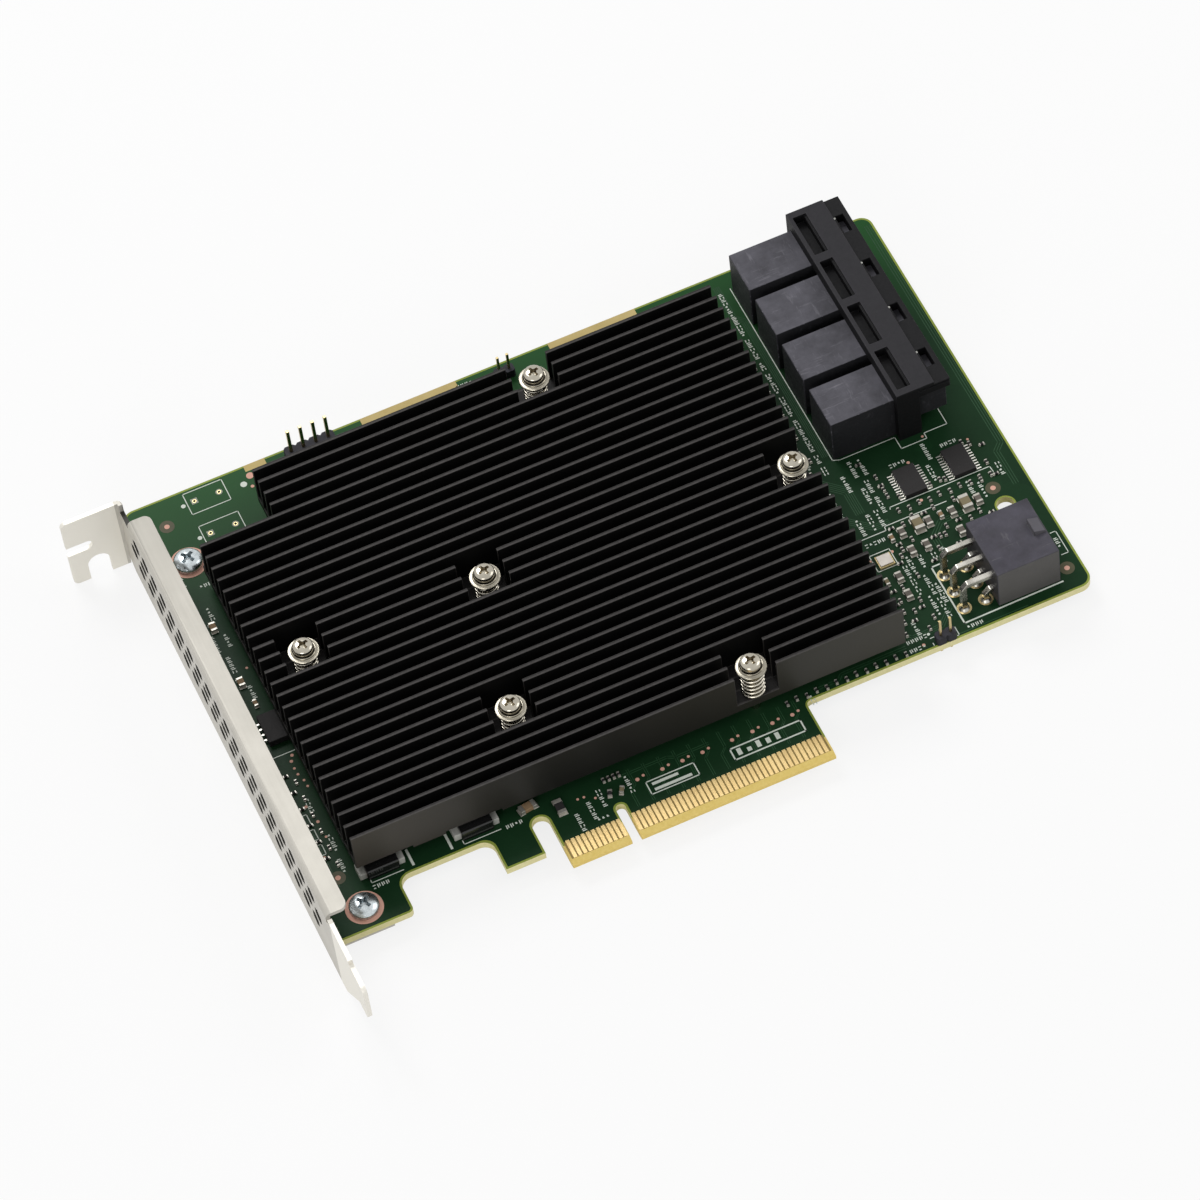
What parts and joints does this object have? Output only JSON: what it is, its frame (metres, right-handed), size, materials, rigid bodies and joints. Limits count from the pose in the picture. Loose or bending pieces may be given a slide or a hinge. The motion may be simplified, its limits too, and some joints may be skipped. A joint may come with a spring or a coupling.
{
  "type": "raid controller card",
  "caption": "Full-height expansion card with an edge connector, a vented slot bracket, a finned heat sink on spring screws, ganged cable ports and a power inlet",
  "frame": {"origin": "On the centreline of the key notch, at the lower edge of the edge connector, on the component face of the board.", "axes": "+X along the card away from the bracket, +Y from the edge connector to the card's upper edge, +Z out of the component face."},
  "size_m": [0.1686, 0.1272, 0.0185],
  "materials": {
    "board": "semi-gloss solder mask",
    "gold": "plated",
    "bracket_steel": "satin zinc plate",
    "screw_steel": "bright zinc plate",
    "anodised_black": "matt black anodised",
    "nickel": "nickel plate",
    "spring_wire": "drawn wire",
    "chip_lid": "satin",
    "thermal_pad": "soft matt",
    "chip_black": "matt moulding",
    "port_black": "fine matt",
    "bezel_black": "fine matt",
    "inlet_black": "fine matt",
    "tin": "bright tin plate",
    "header_black": "matt",
    "crystal_lid": "bright lid",
    "ceramic": "sintered ceramic with tinned ends",
    "moulded_black": "matt moulding"
  },
  "bodies": {
    "root": {"circuit_board": "board", "edge_contacts_front": "gold", "edge_contacts_rear": "gold", "slot_bracket": "bracket_steel", "bracket_screws": "screw_steel", "heat_sink": "anodised_black", "spring_screws": "nickel", "spring_collars": "nickel", "heat_sink_springs": "spring_wire", "retaining_nuts": "nickel", "raid_processor": "chip_lid", "processor_thermal_pad": "thermal_pad", "memory_chips": "chip_black", "memory_thermal_pads": "thermal_pad", "port_shell_1": "port_black", "port_shell_2": "port_black", "port_shell_3": "port_black", "port_shell_4": "port_black", "port_contacts": "gold", "port_bezel": "bezel_black", "power_housing": "inlet_black", "power_leads": "tin", "header_bases": "header_black", "header_pins": "gold", "interface_chip_1": "chip_black", "interface_chip_1_leads": "tin", "interface_chip_2": "chip_black", "interface_chip_2_leads": "tin", "flash_chip": "chip_black", "crystal": "crystal_lid", "ceramic_capacitors": "ceramic", "moulded_capacitors": "moulded_black", "capacitor_terminals": "tin"}
  },
  "joints": []
}
